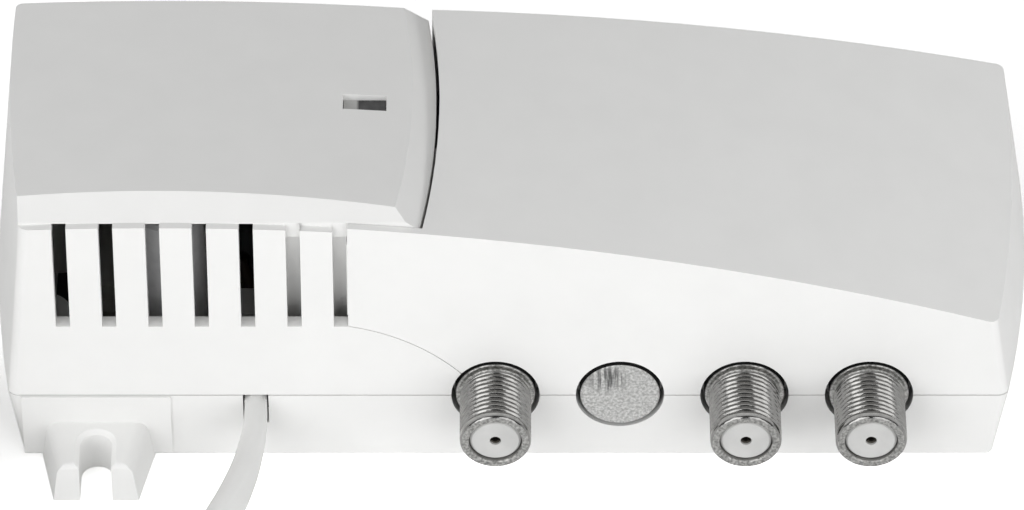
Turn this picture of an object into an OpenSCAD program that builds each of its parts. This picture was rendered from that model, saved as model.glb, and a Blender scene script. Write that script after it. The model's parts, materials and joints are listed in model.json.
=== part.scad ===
// Wall-mount aerial amplifier: a white moulded housing with three threaded sockets,
// a blanked socket, a raised mains side with vents, and a fixed two-core mains lead.
// Millimetres. The flat underside lies on Z = 0 and the sockets face -Y.

/* [Housing] */
// Length of the housing at the seam
body_l = 140; // [134:1:160]
// Depth of the housing at the seam
body_d = 45.6; // [45:0.2:52]
// Height of the seam between the base and the covers
seam_z = 11.3; // [10.6:0.1:13]
// Wall thickness of the covers
wall = 2; // [1.5:0.1:2.4]
// Thickness of the base floor
floor_t = 2; // [1.5:0.1:2.6]
// Lean of the front and back walls above the seam, degrees
wall_lean = 2.6; // [1:0.1:3.4]
// Lean of the left end above the seam, degrees
left_lean = 5.5; // [3:0.1:7]
// Lean of the right end above the seam, degrees
right_lean = 8.7; // [5:0.1:10]
// Bow radius of the left end in plan
left_bow_r = 230; // [180:5:400]
// Bow radius of the right end in plan
right_bow_r = 170; // [150:5:400]
// Place along the depth where both ends bulge most
bow_y = 13.5; // [0:0.5:14]
// Draft of the base front and back, degrees
base_draft = 2; // [0.5:0.1:3]
// Draft of the base ends, degrees
end_draft = 8.5; // [3:0.1:10]
// Fillet round the bottom edge of the base
base_fillet = 0.4; // [0.3:0.1:2]
// Radius of the upright corners at the front
front_corner_r = 1.6; // [0.8:0.1:2]
// Radius of the upright corners at the back
back_corner_r = 1; // [0.6:0.1:2]
// Open gap at the seam
seam_gap = 0.2; // [0.1:0.05:0.4]
// Height of the cover bosses above the seam
boss_h = 6.2; // [5.5:0.1:9]
// Thickness of the locating rim inside the seam
rim_t = 0.85; // [0.6:0.05:1]
// Height of the locating rim above the seam
rim_h = 1.4; // [0.8:0.1:2]
// Clearance between the locating rim and the covers
rim_fit = 0.15; // [0.1:0.05:0.25]

/* [Covers] */
// Crown radius of the signal-side cover
crown_r = 288; // [270:1:360]
// Turn of the crown line from the depth direction, degrees
crown_yaw = 32.8; // [28:0.2:36]
// Distance from the left end to the crown line at mid depth
crown_from_left = 31; // [28:0.5:36]
// Height of the crown line
crown_z = 41.3; // [40.8:0.1:42]
// Crown radius of the raised mains side
hump_r = 392; // [350:1:450]
// Distance from the left end to the highest line of the raised side
hump_from_left = 23.2; // [20:0.2:26]
// Greatest height of the housing
hump_z = 42.7; // [42:0.1:45]
// Drop of the front chamfer of the raised side
hump_drop = 2.5; // [2:0.1:3]
// Drop of the chamfer beside the slit
side_drop = 2; // [1.5:0.1:2.5]
// Slope of the chamfers, degrees
hump_slope = 36; // [30:1:45]
// Width of the ledge in front of the raised side
ledge_w = 1.1; // [0.8:0.1:1.4]
// Distance from the left end to the slit beside the raised side
slit_from_left = 59.9; // [58:0.1:61]
// Bow radius of the slit in plan
slit_r = 138.8; // [120:0.2:170]
// Place along the depth where the slit bulges most
slit_y = 3.6; // [0:0.1:6]
// Open width of the slit
slit_gap = 0.45; // [0.3:0.05:0.7]
// Gap at the other parting lines between the two covers
parting_gap = 0.12; // [0.08:0.02:0.2]
// Radius of the curved parting line on the front
parting_r = 27.3; // [25:0.1:32]
// Start angle of the curved parting line, degrees
parting_a = 79.2; // [76:0.2:82]

/* [Vents] */
// Number of vent slots
vent_n = 7; // [5:1:7]
// Spacing of the vent slots
vent_pitch = 6.13; // [5.6:0.01:6.3]
// Width of a vent slot
vent_w = 1.9; // [1.4:0.1:2.4]
// Height of the vent sills
vent_sill_z = 23.3; // [21:0.1:26]
// Distance from the left end to the first vent
vent_from_left = 10.6; // [9.5:0.1:11.5]
// Thickness of the tongue behind the last vents
tongue_t = 1; // [0.8:0.1:1.4]
// Reach of the tongue past the last but one vent
tongue_side = 0.6; // [0.4:0.1:1.2]
// Drop of the tongue's lower edge below the vent sills
tongue_drop = 2.6; // [0.5:0.1:3]
// Height of the tongue's root above the vent sills
root_rise = 1.6; // [1:0.1:3]
// Lean of the tongue away from the vents, degrees
tongue_lean = 7; // [3:0.5:12]

/* [Sockets] */
// Distance from the slit to the first socket
port_from_slit = 7.9; // [7:0.1:9]
// Distance from the right end to the last socket
port_from_right = 22.4; // [21:0.1:24]
// Diameter of the housing holes round the sockets
hole_d = 11.8; // [11.4:0.1:12.4]
// Diameter of a socket flange
flange_d = 10.7; // [10.2:0.1:11]
// Diameter over the socket thread
thread_d = 9.5; // [9.2:0.05:9.8]
// Reach of a socket in front of the housing
port_reach = 9.1; // [7:0.1:11]
// Bore of a socket
port_bore = 7; // [6.6:0.1:7.4]
// Diameter of the spigot behind a flange
spigot_d = 8.4; // [8:0.1:9]
// Chamfer at the open end of a socket
port_chamfer = 0.25; // [0.15:0.05:0.6]
// Width of the groove behind the socket thread
groove_w = 0.6; // [0.3:0.1:1]
// Depth of the groove behind the socket thread
groove_d = 0.3; // [0.2:0.05:0.5]
// Inset of the flange face behind the housing front
flange_inset = 0.2; // [0.1:0.05:0.4]
// Recess of the insulator in a socket
insulator_recess = 0.35; // [0.2:0.05:0.8]
// Diameter of the hole for the cable's centre wire
pin_hole_d = 1.5; // [1.2:0.1:1.8]
// Diameter of the spring contact
contact_d = 2.6; // [2.3:0.1:3]

/* [Wall ears] */
// Width of an ear at its root
ear_root_w = 15.2; // [14:0.1:17]
// Width of an ear at its tip
ear_tip_w = 11.4; // [10.5:0.1:13]
// Reach of an ear from the base wall
ear_d = 8.9; // [7.5:0.1:10]
// Thickness of an ear
ear_t = 6.5; // [5:0.1:7.5]
// Draft of the sides of an ear over its thickness
ear_draft = 0.8; // [0.4:0.1:1.6]
// Radius of the rounded sides on top of an ear
ear_round = 1.8; // [1:0.1:2.5]
// Radius of the rounded front edge of an ear
ear_edge = 0.9; // [0.5:0.1:1.5]
// Chamfer round the top of the screw slot
slot_chamfer = 0.6; // [0.3:0.1:1]
// Width of the screw slot in an ear
ear_slot_w = 4.3; // [4.2:0.1:5]
// Depth of the screw slot in an ear
ear_slot_d = 6.5; // [5:0.1:7]
// Distance from each end to the middle of its ear
ear_from_end = 14.5; // [13:0.5:18]
// Width of the raised panel behind the front ear
panel_w = 19.9; // [18:0.1:22]
// Amount by which the panel stands proud
panel_t = 0.4; // [0.2:0.1:0.6]

/* [Boards] */
// Thickness of the circuit boards
board_t = 1.6; // [1.2:0.1:2]
// Distance from the left end to the power board
psu_from_left = 12.2; // [12:0.1:13]
// Depth of the power board
psu_d = 34.6; // [33.6:0.2:36]
// Gap between the power board and the signal tray
psu_gap = 3.5; // [3:0.1:5]
// Width of the lead bay cut into the power board
bay_w = 16.6; // [16:0.1:18]
// Depth of the lead bay cut into the power board
bay_d = 17.2; // [16.8:0.1:17.8]
// Distance from the front edge of the power board to the lead clamp
clamp_from_edge = 10.3; // [10:0.1:10.6]
// Thickness of the sheet under the power board
sheet_t = 0.5; // [0.3:0.1:0.8]
// Thickness of the insulation barrier
barrier_t = 0.8; // [0.5:0.1:1]
// Top of the insulation barrier
barrier_z = 30; // [24:1:34]

/* [Signal tray] */
// Margin of the tray beyond the outer sockets
tray_side = 8.3; // [7.6:0.1:8.6]
// Room behind the tray
tray_back = 2.4; // [1.6:0.1:5]
// Wall thickness of the cast tray
tray_wall = 1.6; // [1.2:0.1:2]
// Height of the tray underside
tray_z = 4; // [3.4:0.1:4.6]
// Height of the tray walls
tray_h = 15; // [13:0.5:16]
// Clearance between the tray and the base wall
tray_clear = 0.4; // [0.2:0.05:0.8]
// Sheet thickness of the tray lid
lid_t = 0.6; // [0.4:0.1:0.8]
// Depth of the lid skirt
lid_skirt = 3; // [2:0.5:4]

/* [Screws] */
// Diameter of the housing screws
screw_d = 2.9; // [2.5:0.1:3.2]
// Head diameter of the housing screws
screw_head_d = 5.2; // [4.6:0.1:5.6]
// Diameter of the base posts round the housing screws
post_d = 7.4; // [7:0.1:8]
// Diameter of the small screws inside
small_screw_d = 2; // [1.6:0.1:2.4]
// Head diameter of the small screws inside
small_head_d = 3.8; // [3.2:0.1:4.2]
// Clearance round screws, pins and spigots
fit = 0.1; // [0.05:0.05:0.2]

/* [Status light] */
// Distance from the slit to the middle of the status light
led_from_slit = 9.5; // [9:0.1:10.5]
// Place of the status light along the depth
led_y = 1.7; // [1:0.1:2.5]
// Length of the status window
window_l = 5.8; // [5:0.1:6.4]
// Width of the status window
window_w = 3; // [2.4:0.1:3.4]
// Depth of the light pipe below the top
pipe_recess = 0.7; // [0.3:0.1:1.2]

/* [Mains lead] */
// Distance from the left end to the mains lead
lead_from_left = 35.8; // [35:0.1:36.5]
// Width of the flat lead
cord_w = 5; // [4.6:0.1:5.2]
// Thickness of the flat lead
cord_t = 3; // [2.6:0.1:3.2]
// Clearance at each side of the lead in its notch
notch_fit = 0.2; // [0.1:0.05:0.4]
// Radius where the lead joins the coil
coil_r = 34.4; // [33:0.1:36]
// Step of the coil from turn to turn
coil_pitch = 3.6; // [3.55:0.05:3.8]
// Gap between the two layers of the coil
layer_gap = 0.6; // [0.5:0.1:1]
// Thickness of the coil tie
tie_t = 0.8; // [0.5:0.1:1.2]
// Width of the coil tie
tie_w = 4; // [3:0.5:6]

/* [Plug] */
// Width of the plug body
plug_w = 35; // [33:0.5:37]
// Thickness of the plug body
plug_t = 14; // [13:0.2:15]
// Length of the plug body
plug_l = 34; // [30:1:38]
// Length of the plug's strain relief
relief_l = 20; // [20:1:26]
// Spacing of the plug pins
pin_pitch = 19; // [18:0.2:19.4]
// Diameter of the plug pins
pin_d = 4; // [3.8:0.1:4.2]
// Length of the plug pins
pin_l = 19; // [17:0.5:20]
// Length of the insulating sleeves on the pins
sleeve_l = 10; // [8:0.5:11]

/* [Hidden] */
$fn = 64;
// Segments on the large crown, bow and slit radii
big_fn = 256;
// Height of the blocks that the covers are cut from
reach_z = hump_z + 15;
// Overshoot of a cutter beyond the face that it opens
over = 1;

half_l = body_l / 2;
half_d = body_d / 2;
left_x = -half_l;
right_x = half_l;
base_wall = wall + rim_fit + rim_t;
inner_fillet = 0.3;
cover_z = seam_z + seam_gap / 2;
base_top = seam_z - seam_gap / 2;

crown_x = left_x + crown_from_left;
hump_x = left_x + hump_from_left;
slit_x = left_x + slit_from_left;
ledge_z = hump_z - hump_drop;

lead_x = left_x + lead_from_left;
lead_top = base_top;
lead_z = lead_top - cord_w / 2;

port_n = 4;
blank_i = 1;
port_pitch = (right_x - port_from_right - slit_x - port_from_slit) / (port_n - 1);
board_drop = 0.6;
board_z = seam_z - board_drop - board_t;
board_top = board_z + board_t;
tray_floor_z = tray_z + tray_wall;
tray_top = tray_z + tray_h;

// Points on an arc from angle a0 to a1
function arc(cx, cy, r, a0, a1, n) =
    [for (i = [0:n]) let (a = a0 + (a1 - a0) * i / n) [cx + r * cos(a), cy + r * sin(a)]];

// Outline of a rectangle with rounded corners, centred
function round_rect(w, h, r, n = 6) = concat(
    arc(w / 2 - r, h / 2 - r, r, 0, 90, n),
    arc(r - w / 2, h / 2 - r, r, 90, 180, n),
    arc(r - w / 2, r - h / 2, r, 180, 270, n),
    arc(w / 2 - r, r - h / 2, r, 270, 360, n));

// Outer half depth of the covers and of the base at a height
function wall_y(z) = half_d - (z - seam_z) * tan(wall_lean);
function base_y(z) = half_d - (seam_z - z) * tan(base_draft);

// Height of the raised side's top
function hump_top_z(x) = hump_z - hump_r + sqrt(pow(hump_r, 2) - pow(x - hump_x, 2));

// Places of the sockets and the vents along the length
function port_x(i) = right_x - port_from_right - (port_n - 1 - i) * port_pitch;
function vent_x(i) = left_x + vent_from_left + i * vent_pitch;

// Screw posts that hold the covers, the mains side first
post_left = 7.7;
post_right = 9;
post_front = 9.8;
post_back = 7.8;
mains_posts = [for (y = [post_front - half_d, half_d - post_back]) [left_x + post_left, y]];
rf_posts = [for (y = [post_front + over - half_d, half_d - post_back]) [right_x - post_right, y]];

module yz_prism(points, length) {
    rotate([90, 0, 90])
        linear_extrude(length, center = true)
            polygon(points);
}

module along_y(d, y0, y1, d_end = 0) {
    translate([0, y1, 0])
        rotate([90, 0, 0])
            cylinder(h = y1 - y0, d1 = d, d2 = d_end > 0 ? d_end : d);
}

module box(x0, x1, y0, y1, z0, z1) {
    translate([x0, y0, z0])
        cube([x1 - x0, y1 - y0, z1 - z0]);
}

// Base form between two heights, drafted and bowed, with a fillet round its lower edge
module base_block(inset, z0, z1, fillet) {
    y0 = base_y(z0) - inset;
    y1 = base_y(z1) - inset;
    intersection() {
        yz_prism(concat(
            [[-y1, z1]],
            arc(fillet - y0, z0 + fillet, fillet, 180, 270, 6),
            arc(y0 - fillet, z0 + fillet, fillet, 270, 360, 6),
            [[y1, z1]]), body_l + 4 * over);
        base_end(right_x - right_bow_r, right_bow_r - inset, z0, z1, fillet);
        base_end(left_x + left_bow_r, left_bow_r - inset, z0, z1, fillet);
    }
}

module base_end(x, r, z0, z1, fillet) {
    r0 = r - (seam_z - z0) * tan(end_draft);
    r1 = r - (seam_z - z1) * tan(end_draft);
    translate([x, bow_y, 0])
        rotate_extrude($fn = big_fn)
            polygon(concat(
                [[0, z1], [0, z0]],
                arc(r0 - fillet, z0 + fillet, fillet, 270, 360, 6),
                [[r1, z1]]));
}

// Form above the seam, leaning in on every side
module upper_block(inset, z0, z1 = reach_z) {
    y0 = wall_y(z0) - inset;
    y1 = wall_y(z1) - inset;
    intersection() {
        yz_prism([[-y0, z0], [y0, z0], [y1, z1], [-y1, z1]], body_l + 4 * over);
        upper_end(right_x - right_bow_r, right_bow_r - inset, right_lean, z0, z1);
        upper_end(left_x + left_bow_r, left_bow_r - inset, left_lean, z0, z1);
    }
}

module upper_end(x, r, lean, z0, z1) {
    translate([x, bow_y, z0])
        cylinder(
            h = z1 - z0,
            r1 = r - (z0 - seam_z) * tan(lean),
            r2 = r - (z1 - seam_z) * tan(lean),
            $fn = big_fn);
}

// Planes that round an upright corner: end is -1 left or 1 right, side is -1 front or 1 back
module corner_round(end, side, end_lean, side_lean) {
    bow_r = end < 0 ? left_bow_r : right_bow_r;
    r = side < 0 ? front_corner_r : back_corner_r;
    dy = side * half_d - bow_y;
    x = end * (half_l - bow_r + sqrt(pow(bow_r, 2) - pow(dy, 2)));
    tilt = side * asin(dy / bow_r);
    middle = (90 + tilt) / 2;
    spread = (90 - tilt) / 2;
    for (k = [-1, 0, 1]) {
        a = middle + k * spread / 2;
        depth = r * (cos(a - middle) / cos(spread) - 1);
        lean = atan((cos(a) * tan(end_lean) + sin(a - tilt) * tan(side_lean)) / cos(tilt));
        translate([x, side * half_d, seam_z])
            rotate([0, -lean, atan2(side * sin(a), end * cos(a))])
                translate([-depth, -post_d, -reach_z])
                    cube([post_d, 2 * post_d, 2 * reach_z]);
    }
}

module crown_column(inset) {
    translate([crown_x, 0, crown_z - crown_r])
        rotate([0, 0, -crown_yaw])
            rotate([90, 0, 0])
                cylinder(h = 3 * body_l, r = crown_r - inset, center = true, $fn = big_fn);
}

module hump_column(inset) {
    translate([hump_x, 0, hump_z - hump_r])
        rotate([90, 0, 0])
            cylinder(h = 2 * body_d, r = hump_r - inset, center = true, $fn = big_fn);
}

// Signal-side form under its skewed crown
module rf_block(inset, z0) {
    intersection() {
        upper_block(inset, z0);
        crown_column(inset);
    }
}

// Mains-side form: a ledge in front and a chamfered top that stands above it
module mains_block(inset, z0) {
    intersection() {
        upper_block(inset, z0);
        hump_column(hump_drop + inset);
    }
    intersection() {
        upper_block(inset, z0);
        hump_column(inset);
        hump_front(inset, z0);
        hump_side(inset, z0);
    }
}

// Foot of the front chamfer, drawn in by the inset
hump_foot_y = ledge_w - wall_y(ledge_z);
chamfer_shift = tan((90 - hump_slope) / 2);

module hump_front(inset, z0) {
    y = hump_foot_y + inset;
    z = ledge_z - inset * chamfer_shift;
    yz_prism([
        [y, z0],
        [half_d, z0],
        [half_d, reach_z],
        [y + (reach_z - z) / tan(hump_slope), reach_z],
        [y, z]], body_l + 4 * over);
}

module hump_side(inset, z0) {
    r = slit_r - inset;
    z = hump_top_z(slit_x) - side_drop - inset * chamfer_shift;
    translate([slit_x - slit_r, slit_y, 0])
        rotate_extrude($fn = big_fn)
            polygon([
                [0, z0],
                [r, z0],
                [r, z],
                [r - (reach_z - z) / tan(hump_slope), reach_z],
                [0, reach_z]]);
}

// Space of the mains-side cover: left of the slit, and on the front left of the parting line
module mains_zone(slit_grow, front_grow) {
    intersection() {
        translate([slit_x - slit_r, slit_y, 0])
            cylinder(h = reach_z, r = slit_r + slit_grow, $fn = big_fn);
        box(left_x - over, right_x, hump_foot_y - front_grow, half_d + over, 0, reach_z);
    }
    rotate([90, 0, 0])
        translate([0, 0, -hump_foot_y])
            linear_extrude(half_d + hump_foot_y + over)
                polygon(front_zone(front_grow));
}

// Front outline of the mains-side cover, from the first socket up to the last vent
function front_zone(grow) =
    let (
        x = vent_x(vent_n - 1) + vent_w / 2 + grow,
        cx = x - grow - parting_r * cos(parting_a),
        cz = vent_sill_z - parting_r * sin(parting_a),
        end_a = acos((port_x(0) - hole_d / 3 - cx) / parting_r))
    concat(
        [[left_x - over, 0], [port_x(0), 0], [port_x(0), seam_z]],
        arc(cx, cz, parting_r + grow, end_a, parting_a, 12),
        [[x, reach_z], [left_x - over, reach_z]]);

module port_holes() {
    for (i = [0:port_n - 1])
        translate([port_x(i), 0, seam_z])
            along_y(hole_d, -half_d - over, -half_d + base_wall + over);
}

// Cover boss, and the rib that carries it on the nearer end wall
boss_d = post_d - 1;
rib_t = 2;

module cover_boss(p, room = 0) {
    z = cover_z + seam_gap - room;
    translate([p.x, p.y, z])
        cylinder(h = boss_h, d = boss_d + 2 * room);
    translate([p.x + sign(p.x) * post_d / 2, p.y, z + boss_h / 2])
        cube([post_d, rib_t + 2 * room, boss_h], center = true);
}

module boss_bore(p) {
    translate([p.x, p.y, cover_z])
        cylinder(h = boss_h - screw_end, d = screw_d + 2 * fit);
}
screw_end = 0.7;

// Slots through the front wall and up through the ledge
module vent_slots() {
    for (i = [0:vent_n - 1]) {
        x0 = vent_x(i) - vent_w / 2;
        x1 = vent_x(i) + vent_w / 2;
        box(x0, x1, -half_d - over, hump_foot_y, vent_sill_z, ledge_z + over);
        top = x1 > tongue_x0 ? ledge_z - hump_drop : ledge_z - vent_lip;
        box(x0, x1, -half_d - over, hump_foot_y + 2 * wall, vent_sill_z, top);
    }
}
vent_lip = 0.2;

// Tongue of the signal-side cover, behind the last vents and leaning away below
tongue_x0 = vent_x(vent_n - 2) - vent_w - tongue_side;
tongue_x1 = vent_x(vent_n - 1) + vent_w / 2;

tongue_z0 = vent_sill_z - tongue_drop;
tongue_z1 = hump_top_z(tongue_x1 + 2 * wall) - hump_drop - wall - rim_fit;
tongue_top_y = wall + rim_fit - wall_y(tongue_z1);
tongue_foot_y = tongue_top_y + (tongue_z1 - tongue_z0) * tan(tongue_lean);

module cover_tongue() {
    translate([(tongue_x0 + tongue_x1) / 2, 0, 0])
        yz_prism([
            [tongue_foot_y, tongue_z0],
            [tongue_foot_y + tongue_t, tongue_z0],
            [tongue_top_y + tongue_t, tongue_z1],
            [tongue_top_y, tongue_z1]], tongue_x1 - tongue_x0);
    tongue_root(0);
}

// Root of the tongue in the front wall beside the last vent
module tongue_root(room) {
    y0 = -half_d;
    z0 = vent_sill_z + root_rise - room;
    z1 = tongue_z1 + room;
    back_y = tongue_top_y + (tongue_z1 - z0) * tan(tongue_lean) + tongue_t + room;
    translate([tongue_x1 + wall / 2 - fit, 0, 0])
        yz_prism([
            [y0, z0],
            [back_y, z0],
            [tongue_top_y + tongue_t + room, z1],
            [y0, z1]], wall + 2 * room);
}

module window_cut() {
    translate([led_x, led_y, hump_z])
        cube([window_l, window_w, 6 * wall], center = true);
}
led_x = slit_x - led_from_slit;

module mains_cover() {
    color("whitesmoke")
        difference() {
            intersection() {
                union() {
                    difference() {
                        mains_block(0, cover_z);
                        mains_block(wall, cover_z - over);
                        for (side = [-1, 1])
                            corner_round(-1, side, left_lean, wall_lean);
                    }
                    intersection() {
                        union() {
                            for (p = mains_posts)
                                cover_boss(p);
                        }
                        mains_block(wall / 2, cover_z);
                    }
                }
                mains_zone(0, 0);
            }
            for (p = mains_posts)
                boss_bore(p);
            vent_slots();
            tongue_root(rim_fit);
            window_cut();
            port_holes();
        }
}

module rf_cover() {
    color("whitesmoke")
        difference() {
            union() {
                difference() {
                    rf_block(0, cover_z);
                    rf_block(wall, cover_z - over);
                    for (side = [-1, 1])
                        corner_round(1, side, right_lean, wall_lean);
                }
                intersection() {
                    union() {
                        for (p = rf_posts)
                            cover_boss(p);
                    }
                    rf_block(wall / 2, cover_z);
                }
            }
            mains_zone(slit_gap, parting_gap);
            for (p = rf_posts)
                boss_bore(p);
            port_holes();
        }
    color("whitesmoke")
        intersection() {
            cover_tongue();
            rf_block(wall / 4, cover_z);
        }
}

// Block with one leaning, rounded side of an ear, side 1 towards +X
module ear_side(side) {
    taper = atan((ear_root_w - ear_tip_w) / 2 / ear_d);
    lean = atan(ear_draft / ear_t);
    round_z = ear_t - ear_round;
    round_x = -ear_draft * round_z / ear_t - ear_round / cos(lean);
    far = -2 * ear_root_w;
    points = concat(
        [[far, -over], [ear_draft * over / ear_t, -over]],
        arc(round_x, round_z, ear_round, lean, 90, 6),
        [[far, ear_t]]);
    translate([side * ear_root_w / 2, 0, 0])
        rotate([0, 0, -side * taper])
            rotate([90, 0, 0])
                linear_extrude(4 * ear_d, center = true)
                    polygon([for (p = points) [side * p.x, p.y]]);
}

// Slotted ear, its root at Y = 0 and its tip towards -Y
module ear() {
    slot_r = ear_slot_w / 2;
    slot_end = ear_slot_d - slot_r - ear_d;
    root = 2 * base_wall / 3;
    out_x = ear_root_w / 2 + over;
    difference() {
        intersection() {
            linear_extrude(ear_t)
                polygon(concat(
                    [[slot_r, -ear_d], [out_x, -ear_d], [out_x, root], [-out_x, root], [-out_x, -ear_d],
                        [-slot_r, -ear_d]],
                    arc(0, slot_end, slot_r, 180, 0, 12)));
            ear_side(1);
            ear_side(-1);
            rotate([90, 0, 90])
                linear_extrude(2 * ear_root_w, center = true)
                    polygon(concat(
                        [[root + over, -over], [root + over, ear_t]],
                        arc(ear_edge - ear_d, ear_t - ear_edge, ear_edge, 90, 180, 5),
                        [[-ear_d, -over]]));
        }
        translate([0, slot_end, ear_t - slot_chamfer])
            cylinder(h = 2 * slot_chamfer, r1 = slot_r, r2 = slot_r + 2 * slot_chamfer);
        translate([0, slot_end, ear_t - slot_chamfer])
            rotate([90, 0, 0])
                linear_extrude(ear_slot_d)
                    polygon([
                        [-slot_r, 0], [slot_r, 0], [slot_r + 2 * slot_chamfer, 2 * slot_chamfer],
                        [-slot_r - 2 * slot_chamfer, 2 * slot_chamfer]]);
    }
}

// Posts under the boards, the tray and the lead clamp, and the width of the lead notch
inner_post_d = 5.4;
notch_w = cord_t + 2 * notch_fit;
tray_x0 = port_x(0) - tray_side;
tray_x1 = port_x(port_n - 1) + tray_side;
tray_y0 = tray_clear + base_wall - half_d;
tray_y1 = half_d - base_wall - tray_back;
psu_x0 = left_x + psu_from_left;
psu_x1 = tray_x0 - psu_gap;
psu_y0 = -psu_d / 2;
screw_inset = 3.4;
psu_screw_places = [
    [psu_x0 + screw_inset, psu_y0 + screw_inset],
    [psu_x0 + screw_inset, -psu_y0 - screw_inset],
    [psu_x1 - screw_inset, -psu_y0 - screw_inset]];
support_place = [psu_x1 - screw_inset, psu_y0 + screw_inset];
tray_inset = tray_wall + 4;
tray_screw_places = [
    for (x = [tray_x0 + tray_inset, tray_x1 - tray_inset], y = [tray_y0 + tray_inset, tray_y1 - tray_inset])
        [x, y]];
clamp_y = psu_y0 + clamp_from_edge;
clamp_spread = notch_w / 2 + inner_post_d / 2 + fit;
clamp_places = [for (s = [-1, 1]) [lead_x + s * clamp_spread, clamp_y]];
pilot_d = small_screw_d + 2 * fit;
pilot_h = 5;
tray_pilot_h = tray_z - 0.6;

module floor_post(p, top, depth) {
    difference() {
        translate([p.x, p.y, floor_t / 2])
            cylinder(h = top - floor_t / 2, d = inner_post_d);
        translate([p.x, p.y, top - depth])
            cylinder(h = depth + over, d = pilot_d);
    }
}

// Depth of the screw recesses and place of the front ear
head_seat_z = 4;
ear_x = left_x + ear_from_end;

module base_shell() {
    color("whitesmoke")
        difference() {
            union() {
                difference() {
                    base_block(0, 0, base_top, base_fillet);
                    base_block(base_wall, floor_t, base_top + over, inner_fillet);
                    for (end = [-1, 1], side = [-1, 1])
                        corner_round(end, side, -end_draft, -base_draft);
                }
                difference() {
                    upper_block(wall + rim_fit, base_top - over, seam_z + rim_h);
                    upper_block(base_wall, base_top - 2 * over, seam_z + rim_h + over);
                }
                for (p = concat(mains_posts, rf_posts))
                    translate([p.x, p.y, floor_t / 2])
                        cylinder(h = base_top - floor_t / 2, d = post_d);
                for (p = psu_screw_places)
                    floor_post(p, board_z, pilot_h);
                floor_post(support_place, board_z, 0);
                for (p = tray_screw_places)
                    floor_post(p, tray_z, tray_z - floor_t / 2 - fit);
                for (p = clamp_places)
                    floor_post(p, lead_top + fit, pilot_h);
                box(lead_x - notch_w / 2, lead_x + notch_w / 2,
                    clamp_y - inner_post_d / 2, clamp_y + inner_post_d / 2,
                    floor_t / 2, lead_top - cord_w - fit);
                translate([ear_x, -base_y(0), 0])
                    ear();
                translate([right_x - ear_from_end, base_y(0), 0])
                    rotate([0, 0, 180])
                        ear();
                intersection() {
                    base_block(-panel_t, panel_t, base_top, base_fillet);
                    box(ear_x - panel_w / 2, ear_x + panel_w / 2,
                        -half_d - over, -half_d + base_wall / 2, 0, base_top);
                }
            }
            for (p = concat(mains_posts, rf_posts)) {
                translate([p.x, p.y, -over])
                    cylinder(h = base_top + 2 * over, d = screw_d + 2 * fit);
                translate([p.x, p.y, -over])
                    cylinder(h = head_seat_z + over, d = screw_head_d + 2 * fit);
            }
            for (p = concat(mains_posts, rf_posts))
                cover_boss(p, rim_fit);
            port_holes();
            box(lead_x - notch_w / 2, lead_x + notch_w / 2, -half_d - over, -half_d + base_wall + over,
                lead_top - cord_w - fit, seam_z + rim_h + over);
        }
}

// Pan-head screw, its head's underside at Z = 0 and its shank downwards
module pan_screw(d, length, head_d) {
    head_r = head_d / 2;
    round_r = head_r * 0.4;
    head_h = head_r * 0.7;
    drive_r = head_r * 0.3;
    rotate_extrude()
        polygon(concat(
            [[0, -length], [d / 2 - 0.3, -length], [d / 2, -length + 0.6], [d / 2, 0], [head_r, 0]],
            arc(head_r - round_r, head_h - round_r, round_r, 0, 90, 5),
            [[drive_r, head_h], [drive_r, head_h / 2], [0, head_h / 2]]));
}

screw_grip = boss_h - 2 * screw_end;

module housing_screws() {
    color("silver")
        for (p = concat(mains_posts, rf_posts))
            translate([p.x, p.y, head_seat_z])
                rotate([180, 0, 0])
                    pan_screw(screw_d, seam_z + screw_grip - head_seat_z, screw_head_d);
}

module light_pipe() {
    flange = 1.2;
    top = hump_top_z(led_x + window_l / 2) - pipe_recess;
    under = hump_top_z(led_x + window_l / 2 + flange) - wall - fit;
    color("gainsboro") {
        translate([led_x, led_y, (top + led_top) / 2 + fit])
            cube([window_l - 2 * fit, window_w - 2 * fit, top - led_top - 2 * fit], center = true);
        translate([led_x, led_y, under - flange / 2])
            cube([window_l + 2 * flange, window_w + 2 * flange, flange], center = true);
    }
}

led_d = 3;
led_top = board_top + 5;

module status_led() {
    color("palegreen")
        translate([led_x, led_y, board_top])
            rotate_extrude()
                polygon(concat(
                    [[0, 0], [led_d / 2 + 0.4, 0], [led_d / 2 + 0.4, 1], [led_d / 2, 1]],
                    arc(0, led_top - board_top - led_d / 2, led_d / 2, 0, 90, 8)));
}

// Sockets: flange, threaded barrel and spigot as one turned form along -Y
module f_port(i) {
    tip = -half_d - port_reach;
    face = -half_d + flange_inset;
    step = (flange_d - thread_d) / 2;
    color("silver")
        translate([port_x(i), 0, seam_z])
            rotate([90, 0, 0])
                rotate_extrude()
                    polygon([
                        [port_bore / 2, tray_wall_back],
                        [spigot_d / 2, tray_wall_back],
                        [spigot_d / 2, -tray_y0],
                        [flange_d / 2, -tray_y0],
                        [flange_d / 2, -face - step],
                        [flange_d / 2 - step / 2, -face],
                        [thread_d / 2 - groove_d, -face],
                        [thread_d / 2 - groove_d, -face + groove_w],
                        [thread_d / 2, -face + groove_w],
                        [thread_d / 2, -tip - port_chamfer],
                        [thread_d / 2 - port_chamfer, -tip],
                        [port_bore / 2, -tip]]);
}
spigot_out = 0.6;
tray_wall_back = -tray_y0 - tray_wall - spigot_out;

module blank_port() {
    edge = 0.3;
    face = half_d - flange_inset / 2;
    color("darkgray")
        translate([port_x(blank_i), 0, seam_z])
            rotate([90, 0, 0])
                rotate_extrude()
                    polygon([
                        [0, tray_wall_back],
                        [spigot_d / 2, tray_wall_back],
                        [spigot_d / 2, -tray_y0],
                        [flange_d / 2, -tray_y0],
                        [flange_d / 2, face - edge],
                        [flange_d / 2 - edge, face],
                        [0, face]]);
}

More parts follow.
